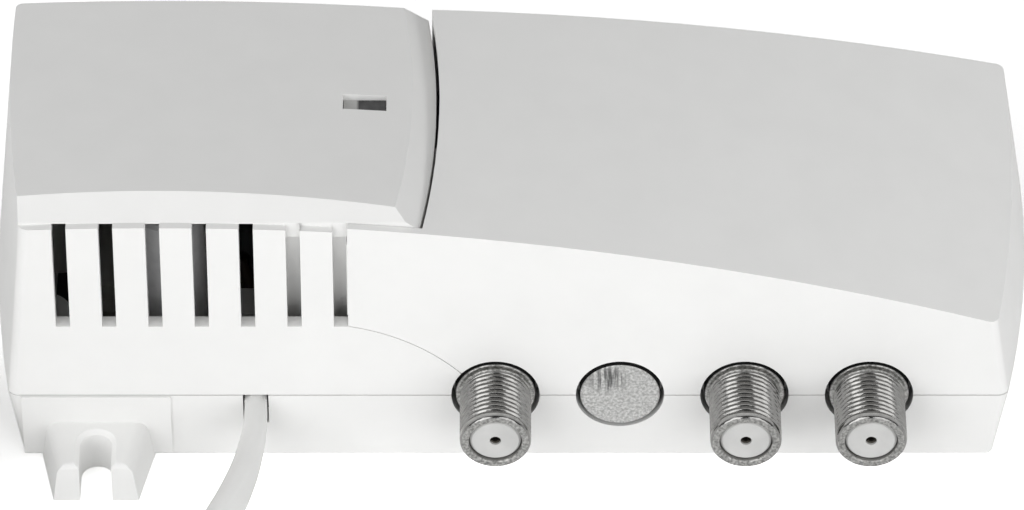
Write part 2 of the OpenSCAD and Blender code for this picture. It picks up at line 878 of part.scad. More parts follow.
insulator_face = half_d + port_reach - insulator_recess;
contact_depth = 1.2;
contact_tip = insulator_face - contact_depth;

module f_insulator(i) {
    edge = 0.3;
    color("white")
        translate([port_x(i), 0, seam_z])
            rotate([90, 0, 0])
                rotate_extrude()
                    polygon([
                        [contact_d / 2 + fit, tray_wall_back],
                        [port_bore / 2 - fit, tray_wall_back],
                        [port_bore / 2 - fit, insulator_face - edge],
                        [port_bore / 2 - fit - edge, insulator_face],
                        [pin_hole_d / 2, insulator_face],
                        [pin_hole_d / 2, contact_tip],
                        [contact_d / 2 + fit, contact_tip]]);
}

contact_tail = 3;

module f_contact(i) {
    bore_end = contact_tip - 7;
    color("goldenrod")
        translate([port_x(i), 0, seam_z])
            rotate([90, 0, 0])
                rotate_extrude()
                    polygon([
                        [0, tray_wall_back - contact_tail],
                        [seam_z - board_top - fit / 2, tray_wall_back - contact_tail],
                        [seam_z - board_top - fit / 2, tray_wall_back],
                        [contact_d / 2, tray_wall_back],
                        [contact_d / 2, contact_tip],
                        [pin_hole_d / 2 - fit, contact_tip],
                        [pin_hole_d / 2 - fit, bore_end],
                        [0, bore_end]]);
}

// Cast tray with a thickened rim of posts, open on top
module rf_chassis() {
    color("darkgray")
        difference() {
            union() {
                difference() {
                    box(tray_x0, tray_x1, tray_y0, tray_y1, tray_z, tray_top);
                    box(tray_x0 + tray_wall, tray_x1 - tray_wall, tray_y0 + tray_wall, tray_y1 - tray_wall,
                        tray_floor_z, tray_top + over);
                }
                for (p = board_posts)
                    translate([p.x, p.y, tray_z + tray_wall / 2])
                        cylinder(h = board_z - tray_z - tray_wall / 2, d = inner_post_d);
            }
            for (p = board_posts)
                translate([p.x, p.y, tray_floor_z])
                    cylinder(h = board_t + tray_h, d = pilot_d);
            for (p = tray_screw_places)
                translate([p.x, p.y, tray_z - over])
                    cylinder(h = tray_wall + 2 * over, d = pilot_d);
            for (i = [0:port_n - 1])
                translate([port_x(i), 0, seam_z])
                    along_y(spigot_d + 2 * fit, tray_y0 - over, tray_y0 + tray_wall + over);
            dc_wires(wire_d + 4 * fit);
        }
}
board_posts = [for (x = [port_x(0) + port_pitch / 2, port_x(port_n - 1) - port_pitch / 2],
    y = [tray_y0 + 2 * tray_inset, tray_y1 - tray_inset]) [x, y]];

module chassis_screws() {
    color("silver")
        for (p = tray_screw_places)
            translate([p.x, p.y, tray_floor_z])
                pan_screw(small_screw_d, tray_wall + tray_pilot_h - floor_t, small_head_d);
}

module rf_board() {
    x0 = tray_x0 + tray_wall + tray_clear;
    x1 = tray_x1 - tray_wall - tray_clear;
    y0 = -tray_wall_back + tray_clear;
    y1 = tray_y1 - tray_wall - tray_clear;
    color("seagreen")
        difference() {
            box(x0, x1, y0, y1, board_z, board_top);
            for (p = board_posts)
                translate([p.x, p.y, board_z - over])
                    cylinder(h = board_t + 2 * over, d = pilot_d);
        }
}

board_grip = 3;

module rf_board_screws() {
    color("silver")
        for (p = board_posts)
            translate([p.x, p.y, board_top])
                pan_screw(small_screw_d, board_t + board_grip, small_head_d);
}

// Pressed lid: a plate on the tray walls and a skirt just inside them
module rf_lid() {
    x0 = tray_x0 + tray_wall + fit;
    x1 = tray_x1 - tray_wall - fit;
    y0 = tray_y0 + tray_wall + fit;
    y1 = tray_y1 - tray_wall - fit;
    color("silver") {
        box(tray_x0, tray_x1, tray_y0, tray_y1, tray_top, tray_top + lid_t);
        difference() {
            box(x0, x1, y0, y1, tray_top - lid_skirt, tray_top + lid_t / 2);
            box(x0 + lid_t, x1 - lid_t, y0 + lid_t, y1 - lid_t, tray_top - lid_skirt - over, tray_top);
        }
    }
}

// Signal parts on the board in the tray
rf_mid_x = (tray_x0 + tray_x1) / 2;
rf_mid_y = (tray_y0 + tray_y1) / 2;
rf_half = (tray_x1 - tray_x0) / 2 - tray_wall - tray_clear;

// Block of length l, width w and height h on a board
module chip(x, y, l, w, h) {
    translate([x, y, board_top + h / 2])
        cube([l, w, h], center = true);
}

// Chip with two rows of n legs
module legged_chip(x, y, l, w, h, n, leg_pitch) {
    leg_l = 0.8;
    leg_w = 0.6;
    chip(x, y, l, w, h);
    for (s = [-1, 1], i = [0:n - 1])
        chip(x + (i - (n - 1) / 2) * leg_pitch, y + s * (w + leg_l) / 2, leg_w, 2 * leg_l, leg_w);
}

module amplifier_chip() {
    color("dimgray")
        legged_chip(rf_mid_x, rf_mid_y, 6, 5, 1.5, 4, 1.27);
}

module splitter_cores() {
    ring_d = 5;
    ring_bore = 2.4;
    ring_h = 3;
    color("darkslategray")
        for (x = [port_x(2), port_x(3)])
            translate([x, rf_mid_y - ring_d, board_top])
                difference() {
                    cylinder(h = ring_h, d = ring_d);
                    translate([0, 0, -over])
                        cylinder(h = ring_h + 2 * over, d = ring_bore);
                }
}

module rf_inductors() {
    row_pitch = rf_half / 8;
    color("saddlebrown")
        for (i = [1:5])
            chip(rf_mid_x - row_pitch * (i + 1), rf_mid_y + 3, 2, 1.4, 1.2);
}

module rf_capacitors() {
    row_pitch = rf_half / 9;
    color("tan")
        for (i = [1:6])
            chip(rf_mid_x + row_pitch * (i + 1), rf_mid_y + 8, 1.6, 0.9, 0.8);
}

// Power board with a bay at the front for the lead and its clamp
module psu_board() {
    color("peru")
        difference() {
            box(psu_x0, psu_x1, psu_y0, -psu_y0, board_z, board_top);
            box(lead_x - bay_w / 2, lead_x + bay_w / 2, psu_y0 - over, psu_y0 + bay_d,
                board_z - over, board_top + over);
            for (p = psu_screw_places)
                translate([p.x, p.y, board_z - over])
                    cylinder(h = board_t + 2 * over, d = pilot_d);
        }
}

module psu_screws() {
    color("silver")
        for (p = psu_screw_places)
            translate([p.x, p.y, board_top])
                pan_screw(small_screw_d, board_t + pilot_h - 1, small_head_d);
}

// Terminal block behind the lead bay, with two wire holes in its front
terminal_y = psu_y0 + bay_d + 1;
terminal_pitch = 5;
terminal_d = 6.5;
terminal_h = 8.5;
wire_z = board_top + 3.4;
wire_d = 1.4;

module mains_terminal() {
    wire_hole_d = wire_d + 1.6;
    screw_hole_d = 3;
    screw_hole_h = 2.5;
    color("dimgray")
        difference() {
            box(lead_x - terminal_pitch, lead_x + terminal_pitch, terminal_y, terminal_y + terminal_d,
                board_top, board_top + terminal_h);
            for (s = [-1, 1])
                translate([lead_x + s * terminal_pitch / 2, terminal_y, 0]) {
                    translate([0, 0, wire_z])
                        along_y(wire_hole_d, -over, 0.6 * terminal_d);
                    translate([0, terminal_d / 2, board_top + terminal_h - screw_hole_h])
                        cylinder(h = screw_hole_h + over, d = screw_hole_d);
                }
        }
}

// Bare-ended cores from the cut lead up to the terminals
module mains_wires() {
    color("saddlebrown")
        for (s = [-1, 1]) {
            from = [lead_x, lead_end_y + lead_out, lead_z + s * cord_w / 4];
            to = [lead_x + s * terminal_pitch / 2, terminal_y, wire_z];
            rod(from, to, wire_d);
        }
}

module rod(from, to, d) {
    v = to - from;
    translate(from)
        rotate([0, acos(v.z / norm(v)), atan2(v.y, v.x)])
            cylinder(h = norm(v), d = d);
}

// Glass fuse lying in two clips, parallel to the left end
module mains_fuse() {
    fuse_d = 5;
    half_span = 7;
    clip_w = 4;
    clip_l = 5;
    lift = 0.9;
    z = board_top + fuse_d / 2 + lift;
    translate([psu_x0 + screw_inset, 0, z]) {
        color("beige")
            along_y(fuse_d, -half_span, half_span);
        color("silver")
            for (y = [-half_span, half_span])
                difference() {
                    box(-clip_w / 2, clip_w / 2, y - clip_l / 2, y + clip_l / 2, board_top - z, 0);
                    along_y(fuse_d + 2 * fit, -half_span - fit, half_span + fit);
                }
    }
}

// Box capacitor at the back edge, behind the terminal block
module x_capacitor() {
    l = 8.5;
    w = 6;
    h = 12.5;
    color("gray")
        chip(lead_x, part_edge - w / 2, l, w, h);
}
part_edge = -psu_y0 - 0.4;

// Parts between the fuse and the lead bay stand in one row along the depth
row_x = psu_x0 + 12.6;

// Wound choke on a foot
module mains_choke() {
    foot_l = 12;
    foot_h = 1.5;
    coil_d = 7;
    bore_d = 3;
    drum_h = 8;
    translate([row_x, part_edge - coil_d / 2, board_top])
        color("dimgray") {
            box(-foot_l / 2, foot_l / 2, -coil_d / 2, coil_d / 2, 0, foot_h);
            difference() {
                translate([0, 0, foot_h / 2])
                    cylinder(h = drum_h, d = coil_d - 2 * fit);
                translate([0, 0, foot_h])
                    cylinder(h = drum_h, d = bore_d);
            }
        }
}

module bridge_rectifier() {
    l = 6.4;
    w = 3.2;
    h = 2.4;
    from_back = 10.7;
    color("dimgray")
        legged_chip(row_x, -psu_y0 - from_back, l, w, h, 2, 4);
}

// Can with a rolled groove near its foot
module can(x, y, d, h) {
    r = d / 2;
    edge = 0.5;
    groove_z = 2.2;
    translate([x, y, board_top])
        rotate_extrude()
            polygon([
                [0, 0], [r - edge, 0], [r, edge], [r, groove_z - edge], [r - edge, groove_z],
                [r, groove_z + edge], [r, h - edge], [r - edge, h], [0, h]]);
}

// Tall can behind the middle vents, its front just inside the cover
module bulk_capacitor() {
    d = 9;
    h = 25;
    color("lightslategray")
        can(row_x, psu_y0 + d / 2 + part_gap, d, h);
}
part_gap = 0.4;

module output_capacitor() {
    d = 6.3;
    h = 11;
    from_end = 7;
    from_back = 8.7;
    color("midnightblue")
        can(psu_x1 - from_end, -psu_y0 - from_back, d, h);
}

module controller_chip() {
    l = 8;
    w = 5;
    h = 3;
    from_front = 16.9;
    color("dimgray")
        legged_chip(row_x, psu_y0 + from_front, l, w, h, 4, 2);
}

// Transformer: a square coil between two flanges, and the ferrite legs in front and behind
former_w = 10;
former_d = 13.2;
former_side = 1.1;
former_front = 1.6;
former_x = psu_x1 - former_w / 2 - former_side;
former_y = psu_y0 + former_d / 2 + former_front;
former_h = 14.5;
former_flange = 1.6;
winding_d = 8.4;
leg_w = 6;

module transformer_bobbin() {
    color("ivory")
        translate([former_x, former_y, board_top])
            difference() {
                box(-former_w / 2, former_w / 2, -former_d / 2, former_d / 2, 0, former_h);
                for (s = [-1, 1])
                    translate([0, s * (winding_d + former_d) / 2, former_h / 2])
                        cube([2 * former_w, former_d, former_h - 2 * former_flange], center = true);
            }
}

module transformer_core() {
    leg_d = (former_d - winding_d) / 2 - fit;
    leg_h = former_h - 2 * former_flange - 2 * fit;
    color("darkslategray")
        for (s = [-1, 1])
            translate([former_x, former_y + s * (former_d - leg_d) / 2, board_top + former_h / 2])
                cube([leg_w, leg_d, leg_h], center = true);
}

module output_diode() {
    l = 4.4;
    w = 3.4;
    h = 2.2;
    from_end = 12;
    from_front = 19.5;
    color("dimgray")
        chip(psu_x1 - from_end, psu_y0 + from_front, l, w, h);
}

// Drum-shaped choke with a rim at each end
module output_choke() {
    drum_d = 5.2;
    waist_d = 3.6;
    drum_h = 6;
    rim = 1;
    from_end = 8.6;
    color("darkslategray")
        translate([psu_x1 - from_end, part_edge - drum_d / 2, board_top])
            rotate_extrude()
                polygon([
                    [0, 0], [drum_d / 2, 0], [drum_d / 2, rim], [waist_d / 2, rim],
                    [waist_d / 2, drum_h - rim], [drum_d / 2, drum_h - rim], [drum_d / 2, drum_h],
                    [0, drum_h]]);
}

// Sheet between the mains side and the signal tray, standing on the floor
module insulation_barrier() {
    x = (psu_x1 + tray_x0) / 2;
    color("beige")
        difference() {
            box(x - barrier_t / 2, x + barrier_t / 2, psu_y0, -psu_y0, floor_t, barrier_z);
            dc_wires(wire_d + 4 * fit);
        }
}

// Gap between the sheet's long edges and the base walls
sheet_room = 1.5;

// Dark sheet on the floor under the power board, cut out round the posts
module insulation_sheet() {
    room = 0.5;
    edge = half_d - base_wall - sheet_room;
    color("dimgray")
        difference() {
            box(left_x + post_left - fit, psu_x1, -edge, edge, floor_t, floor_t + sheet_t);
            for (p = mains_posts)
                sheet_hole(p, post_d + 2 * room);
            for (p = concat(psu_screw_places, clamp_places, [support_place]))
                sheet_hole(p, inner_post_d + 2 * room);
            box(lead_x - notch_w / 2 - room, lead_x + notch_w / 2 + room,
                clamp_y - inner_post_d / 2 - room, clamp_y + inner_post_d / 2 + room,
                floor_t - over, floor_t + sheet_t + over);
        }
}

module sheet_hole(p, d) {
    translate([p.x, p.y, floor_t - over])
        cylinder(h = sheet_t + 2 * over, d = d);
}

dc_from_back = 6.6;
dc_y = -psu_y0 - dc_from_back;
dc_pitch = 2.5;
dc_end = 3;

module dc_wires(d) {
    for (i = [0, 1])
        translate([psu_x1 - dc_end, dc_y - i * dc_pitch, board_top + wire_d / 2 + fit / 2])
            rotate([0, 90, 0])
                cylinder(h = tray_x0 + tray_wall + 2 * dc_end - psu_x1, d = d);
}

module dc_lead() {
    color("crimson")
        dc_wires(wire_d);
}

// Clamp bar over the lead, screwed to two posts of the base
clamp_t = 2.5;
clamp_d = 5;
lead_out = 0.6;
lead_end_y = clamp_y + clamp_d / 2 + lead_out;

module cord_clamp() {
    z = lead_top + fit;
    half_w = clamp_spread + clamp_d / 2;
    color("whitesmoke")
        difference() {
            box(lead_x - half_w, lead_x + half_w, clamp_y - clamp_d / 2, clamp_y + clamp_d / 2,
                z, z + clamp_t);
            for (p = clamp_places)
                translate([p.x, p.y, z - over])
                    cylinder(h = clamp_t + 2 * over, d = pilot_d);
        }
}

module clamp_screws() {
    color("silver")
        for (p = clamp_places)
            translate([p.x, p.y, lead_top + fit + clamp_t])
                pan_screw(small_screw_d, clamp_t + pilot_h - 1, small_head_d);
}

// Section of the flat lead: a flat oval of n sides, its width along x
function cord_section(n, turn) =
    let (r = cord_t / 2 / cos(turn == 0 ? 30 : 180 / n), c = (cord_w - cord_t) / 2)
    [for (k = [0:n - 1])
        let (a = 360 * k / n + turn)
        turn == 0 && abs(sin(a)) < 0.1
            ? [sign(cos(a)) * cord_w / 2, 0]
            : [sign(cos(a)) * c + r * cos(a), r * sin(a)]];

free_section = cord_section(8, 22.5);
wound_section = cord_section(6, 0);

function unit(v) = v / norm(v);
function tangent(p, i) = unit(p[min(i + 1, len(p) - 1)] - p[max(i - 1, 0)]);

// Ring of the section at point i, turned by a about the route
function ring(p, i, a, section) =
    let (t = tangent(p, i), s = unit(cross(t, [0, 0, 1])), u = cross(s, t))
    [for (q = section) p[i] + s * (q.x * cos(a) - q.y * sin(a)) + u * (q.x * sin(a) + q.y * cos(a))];

// Closed tube through the points, as one surface of triangles
module tube(p, turns, section) {
    n = len(section);
    last = len(p) - 1;
    skin = [for (i = [0:last]) each ring(p, i, turns[i], section)];
    sides = [for (i = [0:last - 1], k = [0:n - 1])
        let (a = i * n + k, b = i * n + (k + 1) % n)
        each [[a, b, b + n], [a, b + n, a + n]]];
    caps = [for (k = [1:n - 2])
        each [[0, k + 1, k], [last * n, last * n + k, last * n + k + 1]]];
    polyhedron(skin, concat(sides, caps));
}

function run_length(p, i = 0) = i >= len(p) - 1 ? 0 : norm(p[i + 1] - p[i]) + run_length(p, i + 1);

// Route of the free lead from the housing to the coil: x, y, z and the turn of its flat side
lead_route = [
    [0, 0, 0, 90],
    [0, -2.5, 0, 90],
    [-0.2, -5, -0.3, 88],
    [-0.7, -8, -0.9, 82],
    [-1.5, -11, -1.6, 74],
    [-2.7, -14, -2.6, 64],
    [-4.2, -17, -3.6, 54],
    [-5.8, -20, -4.6, 42],
    [-7.4, -23, -5.5, 30],
    [-8.8, -26, -6.2, 20],
    [-10.4, -30, -6.8, 10],
    [-11.6, -33.3, -7, 6],
    [-13.3, -36.3, -7, 3],
    [-15.6, -38.9, -7, 2],
    [-18.2, -41.2, -7, 2],
    [-21.2, -42.9, -7, 2],
    [-24.5, -44.1, -7, 2],
    [-29.7, -44.8, -7, 2],
    [-36, -44.8, -7, 2],
    [-43, -44.8, -6.8, 12],
    [-50, -44.8, -6.2, 40],
    [-57, -44.8, -5.4, 72],
    [-64, -44.8, -5.2, 88],
    [-71.3, -44.8, -5.2, 90]];
exit = [lead_x, -half_d, lead_z];
lead_points = [for (q = lead_route) exit + [q.x, q.y, q.z]];

// Coil: two layers that spiral in and out, and climb in the half turn between
coil_turns = 7.625;
coil_mid = 3.75;
coil_steps = 24;
coil_start = lead_points[len(lead_points) - 1];
coil_low_z = coil_start.z;
layer_rise = cord_w + layer_gap;
coil_centre = coil_start + [-cord_w, coil_r, 0];

function ease(f) = let (c = min(max(f, 0), 1)) c * c * (3 - 2 * c);
function coil_radius(t) = coil_r - coil_pitch * (coil_mid - abs(t - coil_mid));
function coil_angle(t) = 270 - 360 * t;
function on_coil(t, r, z) = coil_centre + [r * cos(coil_angle(t)), r * sin(coil_angle(t)), z];
function coil_point(t) = on_coil(t, coil_radius(t), layer_rise * ease((t - coil_mid) / 0.5 + 0.5));

coil_points = concat(
    [coil_start],
    [for (i = [0:coil_turns * coil_steps]) coil_point(i / coil_steps)]);
on_edge = [for (p = coil_points) 90];

// Least distance between skin points of turns that are not neighbours along the cord
function coil_gap() =
    let (
        skins = [for (i = [0:len(coil_points) - 1]) ring(coil_points, i, 90, wound_section)],
        near = [for (i = [0:len(coil_points) - 1], j = [i + coil_steps / 2:len(coil_points) - 1])
            if (norm(coil_points[i] - coil_points[j]) < 2 * cord_w) [i, j]])
    min([for (q = near, a = skins[q[0]], b = skins[q[1]]) norm(a - b)]);

// Tail: it climbs beside the outer turn, then bends in over the coil to the plug on top
climb_turns = 7 / 24;
tail_steps = 8;
bend_r = 20;
bend_a = 120;
tail_run = 4;
rest_gap = 0.2;
coil_top = layer_rise + cord_w / 2;
climb_z = layer_rise + cord_w + layer_gap + rest_gap;
plug_rise = coil_top + plug_t / 2 + rest_gap;

function climb_point(f) =
    let (t = coil_turns + climb_turns * f)
    on_coil(t, coil_radius(t), layer_rise + (climb_z - layer_rise) * ease(f));

bend_from = coil_angle(coil_turns + climb_turns);
function bend_point(f) =
    let (a = bend_from - bend_a * f)
    climb_point(1) + [
        bend_r * (cos(a) - cos(bend_from)),
        bend_r * (sin(a) - sin(bend_from)),
        (plug_rise - climb_z) * ease(f)];

plug_at = bend_point(1) + [0, tail_run, 0];
tail_points = concat(
    [for (i = [0:tail_steps]) climb_point(i / tail_steps)],
    [for (i = [1:tail_steps]) bend_point(i / tail_steps)],
    [plug_at]);
tail_turns = concat(
    [for (i = [0:tail_steps]) 90],
    [for (i = [1:tail_steps]) 90 * (1 - ease(i / tail_steps))],
    [0]);

// Sheathed end of the lead inside the housing, held by the clamp
module lead_end() {
    p = [[lead_x, lead_end_y, lead_z], [lead_x, -half_d, lead_z]];
    color("whitesmoke")
        tube(p, [90, 90], free_section);
}

module mains_lead() {
    color("whitesmoke")
        tube(lead_points, [for (q = lead_route) q[3]], free_section);
}

module cord_coil() {
    echo(coil_gap = coil_gap());
    echo(cord_length = run_length(lead_points) + run_length(coil_points) + run_length(tail_points));
    color("whitesmoke")
        tube(coil_points, on_edge, wound_section);
}

module cord_tail() {
    color("whitesmoke")
        tube(tail_points, tail_turns, free_section);
}

// Flat tie round the bundle, on the side of the coil away from the housing
module coil_tie() {
    room = 0.2;
    inner = coil_radius(coil_mid - 0.5) - cord_t / 2 - room;
    outer = coil_radius(0.25) + cord_t / 2 + room;
    low = coil_low_z - cord_w / 2 - room;
    high = coil_low_z + layer_rise + cord_w / 2 + room;
    color("white")
        translate([coil_centre.x - (inner + outer) / 2, coil_centre.y, (low + high) / 2])
            rotate([90, 0, 0])
                linear_extrude(tie_w, center = true)
                    difference() {
                        polygon(round_rect(outer - inner + 2 * tie_t, high - low + 2 * tie_t, 2));
                        polygon(round_rect(outer - inner, high - low, 2 - tie_t));
                    }
}

// Flat two-pin plug lying on the coil, its pins towards +Y
module at_plug() {
    translate(plug_at + [0, relief_l, 0])
        rotate([0, 0, -90])
            children();
}

module plug_body() {
    side = plug_w / 2;
    neck = 11;
    neck_l = 2;
    neck_flare = 0.6;
    shoulder_r = 8;
    shoulder_a = 55;
    shoulder_x = shoulder_r + over - plug_l;
    edge_h = 3;
    slope_w = 6;
    color("whitesmoke")
        at_plug() {
            intersection() {
                translate([0, 0, -plug_t])
                    linear_extrude(2 * plug_t)
                        polygon(concat(
                            [[over, -neck / 2], [-neck_l, -neck / 2 - neck_flare]],
                            arc(shoulder_x, shoulder_r - side, shoulder_r, 270 + shoulder_a, 270, 6),
                            [[-plug_l, -side], [-plug_l, side]],
                            arc(shoulder_x, side - shoulder_r, shoulder_r, 90, 90 - shoulder_a, 6),
                            [[-neck_l, neck / 2 + neck_flare], [over, neck / 2]]));
                yz_prism([
                    [-side, -edge_h / 2], [slope_w - side, -plug_t / 2], [side - slope_w, -plug_t / 2],
                    [side, -edge_h / 2], [side, edge_h / 2], [side - slope_w, plug_t / 2],
                    [slope_w - side, plug_t / 2], [-side, edge_h / 2]], 3 * plug_l);
            }
            rotate([0, 90, 0])
                rotate_extrude()
                    polygon(concat(
                        [[0, -2 * over], [neck / 2 - 0.4, -2 * over]],
                        [for (i = [0:4]) each relief_ring(i)],
                        [[cord_w / 2 + 0.5, relief_l], [0, relief_l]]));
        }
}

// Ring i of the ribbed relief: a rib and the groove after it
function relief_ring(i) =
    let (
        step = relief_l / 5.5,
        z = i * step,
        r = 5 - i * 0.38)
    [[r, z], [r, z + step * 0.55], [r - 0.7, z + step * 0.6], [r - 0.7, z + step * 0.95]];

module on_pins() {
    at_plug()
        for (s = [-1, 1])
            translate([-plug_l, s * pin_pitch / 2, 0])
                rotate([0, -90, 0])
                    children();
}

core_d = pin_d - 0.8;

module plug_pins() {
    color("silver")
        on_pins()
            rotate_extrude()
                polygon(concat(
                    [[0, 0], [core_d / 2, 0], [core_d / 2, sleeve_l], [pin_d / 2, sleeve_l + fit]],
                    arc(0, pin_l - pin_d / 2, pin_d / 2, 0, 90, 8)));
}

module pin_sleeves() {
    color("dimgray")
        on_pins()
            rotate_extrude()
                polygon([
                    [core_d / 2 + fit / 2, 0], [pin_d / 2 - fit, 0],
                    [pin_d / 2 - fit, sleeve_l - fit], [core_d / 2 + fit / 2, sleeve_l - fit]]);
}

base_shell();
rf_cover();
mains_cover();
housing_screws();
light_pipe();
status_led();
rf_chassis();
rf_lid();
rf_board();
rf_board_screws();
chassis_screws();
f_port(0);  // f_port_1
f_port(2);  // f_port_2
f_port(3);  // f_port_3
blank_port();
f_insulator(0);  // f_insulator_1
f_insulator(2);  // f_insulator_2
f_insulator(3);  // f_insulator_3
f_contact(0);  // f_contact_1
f_contact(2);  // f_contact_2
f_contact(3);  // f_contact_3
amplifier_chip();
splitter_cores();
rf_inductors();
rf_capacitors();
psu_board();
psu_screws();
mains_terminal();
mains_fuse();
x_capacitor();
mains_choke();
bridge_rectifier();
bulk_capacitor();
controller_chip();
transformer_core();
transformer_bobbin();
output_diode();
output_capacitor();
output_choke();
insulation_barrier();
insulation_sheet();
dc_lead();
cord_clamp();
clamp_screws();
lead_end();
mains_wires();
mains_lead();
cord_coil();
cord_tail();
coil_tie();
plug_body();
plug_pins();
pin_sleeves();
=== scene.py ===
"""Looks of a white wall-mount aerial amplifier: camera, mains lead, housing, sockets and light."""
import json
import math

import bmesh
import bpy
import numpy as np
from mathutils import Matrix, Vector, noise


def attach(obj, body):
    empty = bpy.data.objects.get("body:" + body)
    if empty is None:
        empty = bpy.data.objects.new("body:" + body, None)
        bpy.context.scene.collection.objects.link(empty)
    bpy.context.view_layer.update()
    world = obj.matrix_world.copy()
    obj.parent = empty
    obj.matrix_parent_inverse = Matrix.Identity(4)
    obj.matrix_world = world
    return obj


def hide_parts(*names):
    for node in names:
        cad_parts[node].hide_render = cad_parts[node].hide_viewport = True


MM = 0.001
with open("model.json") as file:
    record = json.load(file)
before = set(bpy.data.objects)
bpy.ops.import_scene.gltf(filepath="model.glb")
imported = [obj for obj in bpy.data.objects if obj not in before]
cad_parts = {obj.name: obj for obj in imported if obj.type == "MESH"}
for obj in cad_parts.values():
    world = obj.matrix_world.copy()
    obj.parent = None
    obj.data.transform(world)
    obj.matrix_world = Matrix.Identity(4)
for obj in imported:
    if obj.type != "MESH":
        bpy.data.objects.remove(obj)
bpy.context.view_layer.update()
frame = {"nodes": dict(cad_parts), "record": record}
nodes = frame["nodes"]
scene = bpy.context.scene
scene.view_settings.view_transform = "Standard"

# Camera, fitted to the photograph's 1024 x 510 frame
CAMERA_AT = (0.0, -732.08, 687.06)
CAMERA_TILT = 47.48
LENS = 258.26

camera_data = bpy.data.cameras.new("camera")
camera_data.sensor_width = 36
camera_data.lens = LENS
camera_data.clip_end = 20
camera = bpy.data.objects.new("camera", camera_data)
camera.location = [v * MM for v in CAMERA_AT]
camera.rotation_euler = (math.radians(CAMERA_TILT), 0, 0)
scene.collection.objects.link(camera)
scene.camera = camera


# Angles in degrees below which edges are shaded smooth
CORD_SMOOTH, METAL_SMOOTH = 50, 40


def mesh_object(name, points, faces, smooth=None):
    """A mesh in millimetres, shaded smooth below the angle in degrees."""
    mesh = bpy.data.meshes.new(name)
    mesh.from_pydata([tuple(c * MM for c in p) for p in points], [], faces)
    piece = bpy.data.objects.new(name, mesh)
    scene.collection.objects.link(piece)
    bm = bmesh.new()
    bm.from_mesh(mesh)
    bmesh.ops.recalc_face_normals(bm, faces=bm.faces)
    bm.to_mesh(mesh)
    bm.free()
    if smooth:
        mesh.shade_smooth()
        mesh.set_sharp_from_angle(angle=math.radians(smooth))
    return piece


# Mains lead: one flat twin cord from the housing into a tied coil, the plug on top
CORD_W, CORD_T = 5.0, 3.0
EXIT = np.array([-34.2, -22.8, 8.7])
LEAD = [
    (0, 0, 0, 90), (0, -2.5, 0, 90), (-0.2, -5, -0.3, 88), (-0.7, -8, -0.9, 82),
    (-1.5, -11, -1.6, 74), (-2.7, -14, -2.6, 64), (-4.2, -17, -3.6, 54), (-5.8, -20, -4.6, 42),
    (-7.4, -23, -5.5, 30), (-8.8, -26, -6.2, 20), (-10.4, -30, -6.8, 10), (-11.6, -33.3, -7, 6),
    (-13.3, -36.3, -7, 3), (-15.6, -38.9, -7, 2), (-18.2, -41.2, -7, 2), (-21.2, -42.9, -7, 2),
    (-24.5, -44.1, -7, 2), (-29.7, -44.8, -7, 2), (-36, -44.8, -7, 2), (-43, -44.8, -6.8, 12),
    (-50, -44.8, -6.2, 40), (-57, -44.8, -5.4, 72), (-64, -44.8, -5.2, 88), (-71.3, -44.8, -5.2, 90)]
COIL_FROM, COIL_R, COIL_PITCH, COIL_TURNS, COIL_MID = 270, 34.4, 3.6, 7.625, 3.75
LAYER_RISE, CLIMB_RISE, PLUG_RISE = 5.6, 11.4, 15.3
LAYER_TURNS, CLIMB_TURNS, BEND_R, BEND_A, TAIL_RUN = 0.5, 7 / 24, 20.0, 120.0, 4.0
LEAD_STEPS, TURN_STEPS, CLIMB_STEPS, BEND_STEPS = 5, 48, 16, 20


def ease(f):
    """A smooth step from 0 to 1."""
    c = min(max(f, 0.0), 1.0)
    return c * c * (3 - 2 * c)


def catmull(rows, steps):
    """Rows of numbers, with steps - 1 smooth rows put between each two."""
    rows = np.array(rows, float)
    out = []
    for i in range(len(rows) - 1):
        a, b = rows[max(i - 1, 0)], rows[i]
        c, d = rows[i + 1], rows[min(i + 2, len(rows) - 1)]
        for k in range(steps):
            t = k / steps
            out.append(0.5 * (2 * b + (c - a) * t + (2 * a - 5 * b + 4 * c - d) * t ** 2
                              + (3 * b - a - 3 * c + d) * t ** 3))
    return out + [rows[-1]]


def cord_rows():
    """Places of the cord in millimetres, and the turn of its flat side in degrees."""
    rows = catmull(LEAD, LEAD_STEPS)
    for r in rows:
        r[:3] += EXIT
    centre = rows[-1][:3] + (-CORD_W, COIL_R, 0)

    def turned(t):
        return math.radians(COIL_FROM - 360 * t)

    def on_coil(t, z):
        a = turned(t)
        r = COIL_R - COIL_PITCH * (COIL_MID - abs(t - COIL_MID))
        return centre + (r * math.cos(a), r * math.sin(a), z)

    steps = round(COIL_TURNS * TURN_STEPS)
    for i in range(steps + 1):
        t = COIL_TURNS * i / steps
        z = LAYER_RISE * ease((t - COIL_MID) / LAYER_TURNS + 0.5)
        rows.append(np.append(on_coil(t, z), 90))
    for i in range(1, CLIMB_STEPS + 1):
        f = i / CLIMB_STEPS
        z = LAYER_RISE + (CLIMB_RISE - LAYER_RISE) * ease(f)
        rows.append(np.append(on_coil(COIL_TURNS + CLIMB_TURNS * f, z), 90))
    start = rows[-1][:3]
    a0 = turned(COIL_TURNS + CLIMB_TURNS)
    for i in range(1, BEND_STEPS + 1):
        f = i / BEND_STEPS
        a = a0 - math.radians(BEND_A * f)
        step = (BEND_R * (math.cos(a) - math.cos(a0)), BEND_R * (math.sin(a) - math.sin(a0)),
                (PLUG_RISE - CLIMB_RISE) * ease(f))
        rows.append(np.append(start + step, 90 * (1 - ease(f))))
    rows.append(rows[-1] + (0, TAIL_RUN, 0, 0))
    return np.array(rows)


